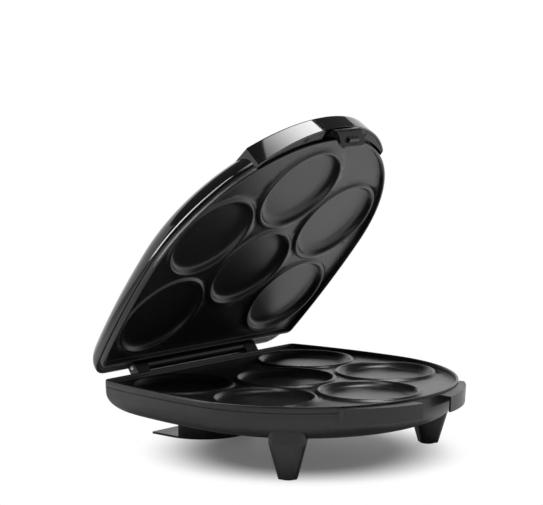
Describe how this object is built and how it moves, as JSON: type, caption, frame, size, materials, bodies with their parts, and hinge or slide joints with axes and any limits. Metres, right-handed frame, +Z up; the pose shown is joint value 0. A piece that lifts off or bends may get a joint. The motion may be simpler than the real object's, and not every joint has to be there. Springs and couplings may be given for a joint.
{
  "type": "arepa maker",
  "caption": "Countertop cooker for round dough cakes: a coated plate with round pockets in a base on legs, and a hinged lid with matching pockets, a crescent handle and a latch.",
  "frame": {"origin": "on the table, under the middle of the object's box", "axes": "+Z up, -Y to the front where the handle and latch are, +Y to the hinge, X along the hinge"},
  "size_m": [0.2848, 0.3034, 0.3046],
  "materials": {
    "base_plastic": "fine satin texture",
    "stand_plastic": "fine satin texture",
    "pad_rubber": "matte",
    "lower_coating": "satin non-stick coating",
    "upper_coating": "satin non-stick coating",
    "lid_plastic": "high gloss",
    "handle_plastic": "fine satin texture",
    "latch_plastic": "gloss",
    "heater_sheath": "dull sheath",
    "tin_plate": "bright tin",
    "phenolic": "moulded",
    "nylon": "moulded",
    "pin_steel": "drawn rod",
    "screw_steel": "zinc plated",
    "red_lens": "clear red",
    "green_lens": "clear green",
    "lamp_glass": "clear bulb"
  },
  "bodies": {
    "base": {"base_shell": "base_plastic", "rear_stand": "stand_plastic", "foot_pads": "pad_rubber", "lower_plate": "lower_coating", "lower_heater": "heater_sheath", "lower_heater_clips": "tin_plate", "lower_heat_shield": "tin_plate", "thermostat": "phenolic", "thermal_fuse": "tin_plate", "terminal_block": "nylon", "cord_gland": "base_plastic", "cord_gland_nut": "nylon", "hinge_pin": "pin_steel", "base_screws": "screw_steel", "stand_screws": "screw_steel"},
    "lid": {"lid_shell": "lid_plastic", "upper_plate": "upper_coating", "upper_heater": "heater_sheath", "upper_heater_clips": "tin_plate", "upper_heat_shield": "tin_plate", "upper_plate_retainers": "pin_steel", "lid_screws": "screw_steel", "handle_base": "handle_plastic", "handle_screws": "screw_steel", "latch_pin": "pin_steel", "power_lens": "red_lens", "ready_lens": "green_lens", "power_lamp": "lamp_glass", "ready_lamp": "lamp_glass", "lamp_holder": "nylon", "lamp_screw": "screw_steel"},
    "latch": {"latch": "latch_plastic"}
  },
  "joints": [
    {"name": "lid_hinge", "type": "hinge", "parent": "base", "child": "lid", "pos_m": [0, 0.13682, 0.0703], "axis": [-1, 0, 0], "range_deg": [-51.17, 54]},
    {"name": "latch_swing", "type": "hinge", "parent": "lid", "child": "latch", "pos_m": [0, -0.03456, 0.29454], "axis": [1, 0, 0], "range_deg": [0, 12]}
  ]
}
